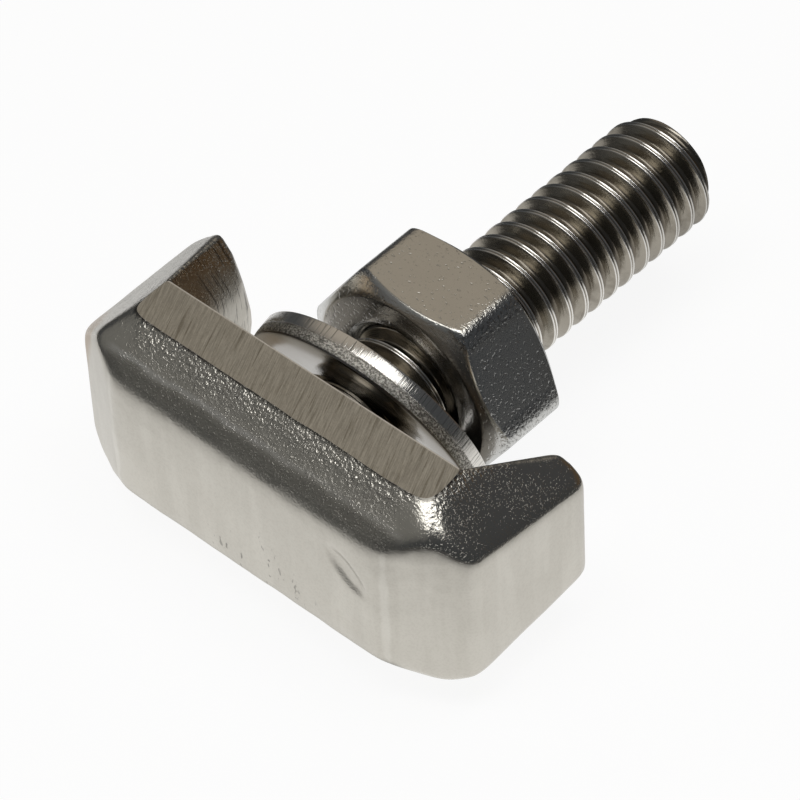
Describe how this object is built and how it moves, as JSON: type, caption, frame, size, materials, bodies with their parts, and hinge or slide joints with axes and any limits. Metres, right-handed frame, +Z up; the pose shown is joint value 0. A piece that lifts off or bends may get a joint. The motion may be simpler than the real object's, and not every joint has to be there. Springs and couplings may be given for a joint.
{
  "type": "t slot bolt",
  "caption": "T-slot bolt with a hooked hammer head, loose flat washer and hexagon nut, lying on its side.",
  "frame": {"origin": "stud axis where it meets the land, the underside of the head", "axes": "+Y along the stud towards its free end, X along the long side of the head, +Z up as it lies"},
  "size_m": [0.0315, 0.0382, 0.0162],
  "materials": {
    "forged_steel": "bright plated, shot-blasted slopes, ground flats",
    "washer_steel": "bright plated, sheared rim",
    "nut_steel": "bright plated"
  },
  "bodies": {
    "bolt": {"t_bolt": "forged_steel"},
    "washer": {"washer": "washer_steel"},
    "nut": {"nut": "nut_steel"}
  },
  "joints": [
    {"name": "nut_turn", "type": "hinge", "parent": "bolt", "child": "washer", "pos_m": [0, 0, 0], "axis": [0, 1, 0], "range_deg": [0, 4320]},
    {"name": "nut_travel", "type": "slide", "parent": "washer", "child": "nut", "axis": [0, 1, 0], "range_m": [0, 0.01694]}
  ],
  "couplings": [
    {"joint": "nut_travel", "follows": "nut_turn", "m_per_rad": 0.00022458}
  ]
}
